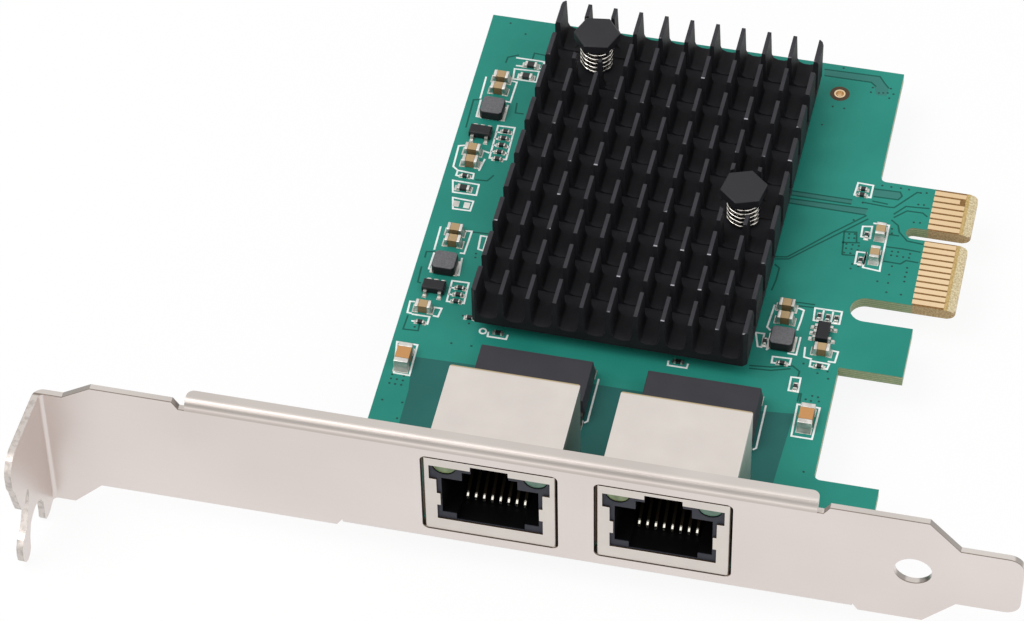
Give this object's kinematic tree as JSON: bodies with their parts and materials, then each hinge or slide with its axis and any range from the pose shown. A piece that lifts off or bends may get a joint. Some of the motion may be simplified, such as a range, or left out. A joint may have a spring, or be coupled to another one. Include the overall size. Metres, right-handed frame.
{
  "type": "network interface card",
  "caption": "Wired network card on a full-height slot bracket: green stepped board with edge contacts, shielded modular sockets, and a black pin-fin heat sink on sprung pins.",
  "frame": {"origin": "middle of the key slot at the tip of the contact edge, halfway through the board", "axes": "+X along the bracket from screw tab to tail, the way the contact edge goes into its slot; +Y from the bracket into the card; +Z out of the board's component side"},
  "size_m": [0.1212, 0.0987, 0.0229],
  "materials": {
    "solder_mask": "green solder mask over glass-fibre laminate, satin",
    "gold_pad": "gold plate, smooth",
    "bracket_plate": "nickel plate over folded sheet, satin",
    "screw_plate": "nickel plate, bright",
    "shield_plate": "tin plate, satin",
    "socket_plastic": "black moulded, fine grain",
    "socket_wire": "gold plate",
    "lamp_left": "diffused yellow-green lens",
    "lamp_right": "diffused green lens",
    "transformer_case": "dark grey moulded",
    "tinned_lead": "tin plate, bright",
    "sink_anodise": "black anodised, satin",
    "chip_case": "black moulded",
    "gap_pad": "soft grey gap pad",
    "crystal_can": "metal can, satin",
    "pin_plastic": "black moulded nylon",
    "spring_wire": "spring wire, bright",
    "ferrite": "dark ferrite, matte",
    "regulator_case": "black moulded",
    "tan_ceramic": "tan ceramic, matte",
    "dark_ceramic": "dark glazed film over white ceramic"
  },
  "bodies": {
    "card": {"circuit_board": "solder_mask", "edge_contacts_top": "gold_pad", "edge_contacts_bottom": "gold_pad", "bracket": "bracket_plate", "bracket_screws": "screw_plate", "jack_1_shield": "shield_plate", "jack_2_shield": "shield_plate", "jack_1_housing": "socket_plastic", "jack_2_housing": "socket_plastic", "jack_1_contacts": "socket_wire", "jack_2_contacts": "socket_wire", "jack_1_led_left": "lamp_left", "jack_2_led_left": "lamp_left", "jack_1_led_right": "lamp_right", "jack_2_led_right": "lamp_right", "transformer_1": "transformer_case", "transformer_2": "transformer_case", "transformer_1_leads": "tinned_lead", "transformer_2_leads": "tinned_lead", "heat_sink": "sink_anodise", "packet_switch_chip": "chip_case", "network_controller_chips": "chip_case", "thermal_pads": "gap_pad", "crystals": "crystal_can", "pin_spring_1": "spring_wire", "pin_spring_2": "spring_wire", "power_inductors": "ferrite", "inductor_terminals": "tinned_lead", "regulators": "regulator_case", "regulator_leads": "tinned_lead", "small_capacitor_bodies": "tan_ceramic", "small_capacitor_ends": "tinned_lead", "large_capacitor_bodies": "tan_ceramic", "large_capacitor_ends": "tinned_lead", "resistor_bodies": "dark_ceramic", "resistor_ends": "tinned_lead", "tiny_resistor_bodies": "dark_ceramic", "tiny_resistor_ends": "tinned_lead"},
    "pin_1": {"push_pin_1": "pin_plastic"},
    "pin_2": {"push_pin_2": "pin_plastic"}
  },
  "joints": [
    {"name": "push_pin_1_slide", "type": "slide", "parent": "card", "child": "pin_1", "axis": [0, 0, 1], "range_m": [-0.0015, 0], "stiffness_N_per_m": 900, "deforming": ["pin_spring_1"]},
    {"name": "push_pin_2_slide", "type": "slide", "parent": "card", "child": "pin_2", "axis": [0, 0, 1], "range_m": [-0.0015, 0], "stiffness_N_per_m": 900, "deforming": ["pin_spring_2"]}
  ]
}
